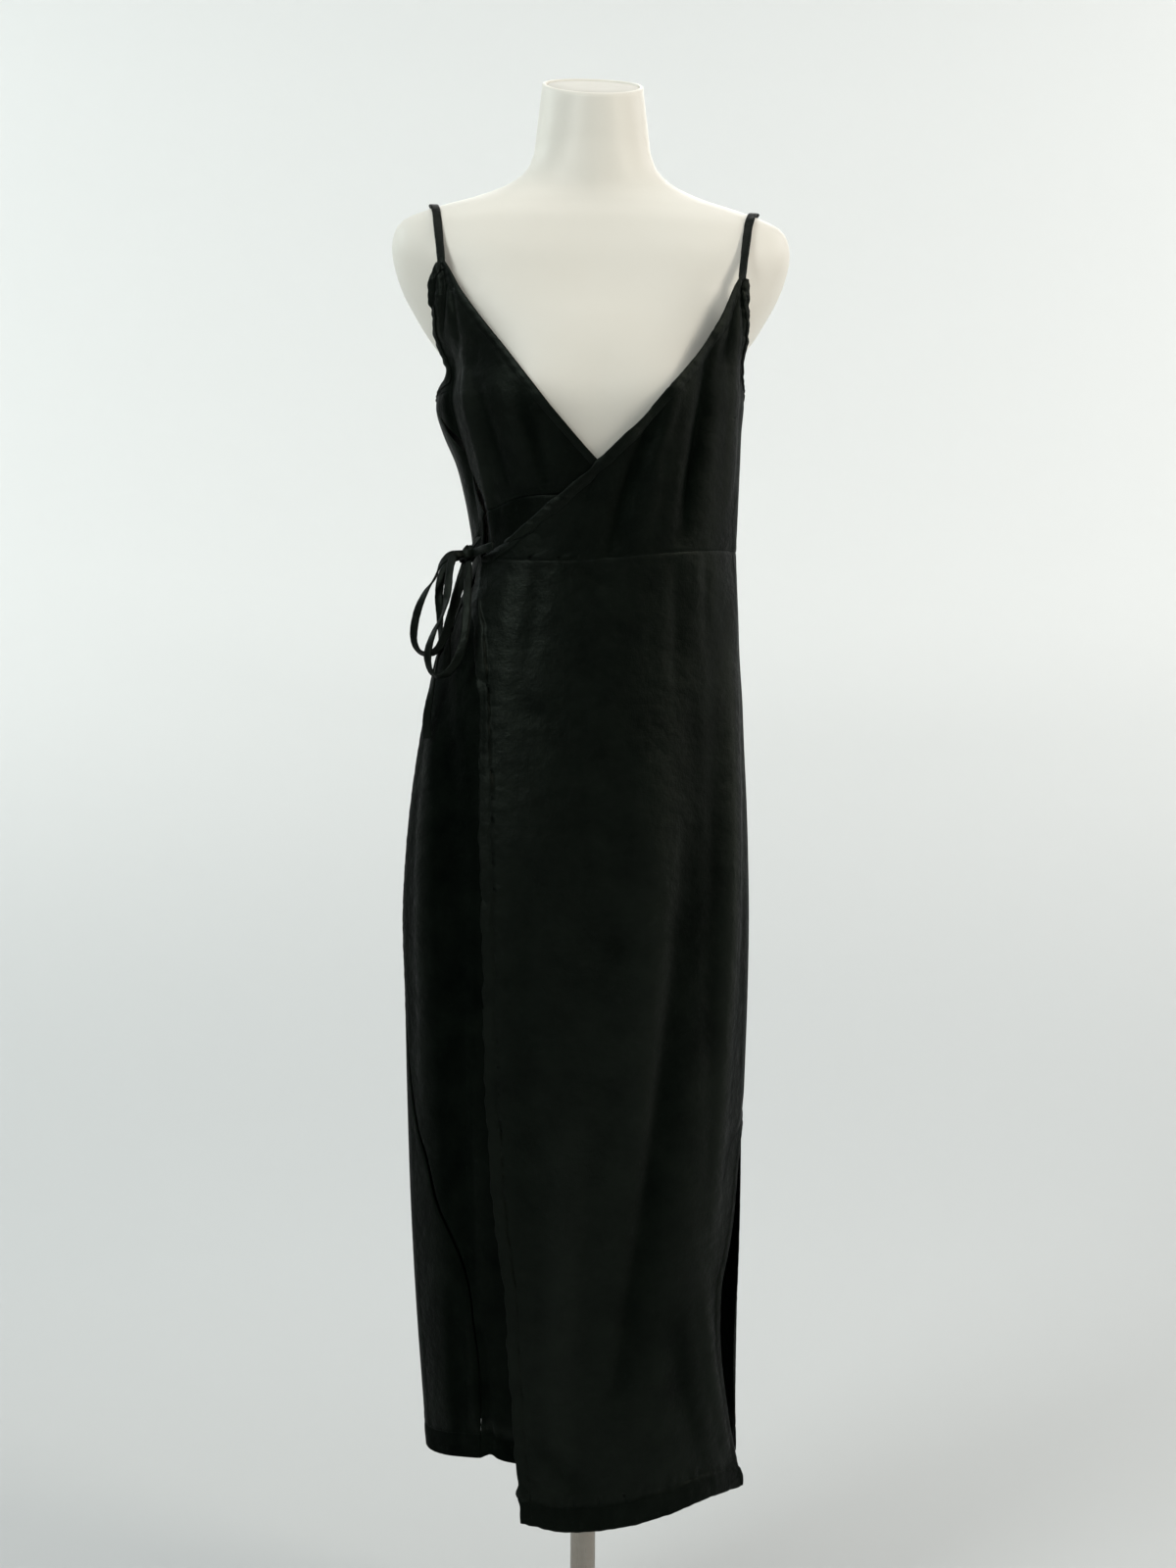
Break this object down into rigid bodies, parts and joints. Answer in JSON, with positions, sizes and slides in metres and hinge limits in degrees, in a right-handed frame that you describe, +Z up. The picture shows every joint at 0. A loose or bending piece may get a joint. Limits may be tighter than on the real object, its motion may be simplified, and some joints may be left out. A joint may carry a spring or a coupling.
{
  "type": "wrap dress on a dress form",
  "caption": "Sleeveless midi wrap dress with narrow straps, a side tie and a side slit, on a plain limbless dress form with a pole and a round base.",
  "frame": {"origin": "centre of the underside of the round base, on the floor", "axes": "+Z up along the pole, -Y the way the dress faces, +X the wearer's left"},
  "size_m": [0.399, 0.34, 1.6381],
  "materials": {
    "silk_cloth": "matt sand-washed silk with a soft nap",
    "torso_plastic": "smooth eggshell cream",
    "cap_plastic": "flat grey cream",
    "brushed_steel": "brushed"
  },
  "bodies": {
    "root": {"form_torso": "torso_plastic", "form_neck_cap": "cap_plastic", "form_socket": "brushed_steel", "form_pole": "brushed_steel", "form_base": "brushed_steel", "bodice_front_left": "silk_cloth", "bodice_front_right": "silk_cloth", "bodice_back": "silk_cloth", "neck_binding_left": "silk_cloth", "neck_binding_right": "silk_cloth", "armhole_binding_left": "silk_cloth", "armhole_binding_right": "silk_cloth", "back_binding": "silk_cloth", "skirt_front_left": "silk_cloth", "skirt_front_right": "silk_cloth", "skirt_back": "silk_cloth", "strap_left": "silk_cloth", "strap_right": "silk_cloth", "tie_knot": "silk_cloth", "tie_loop_outer": "silk_cloth", "tie_loop_inner": "silk_cloth", "tie_tail_long": "silk_cloth", "tie_tail_short": "silk_cloth"}
  },
  "joints": []
}
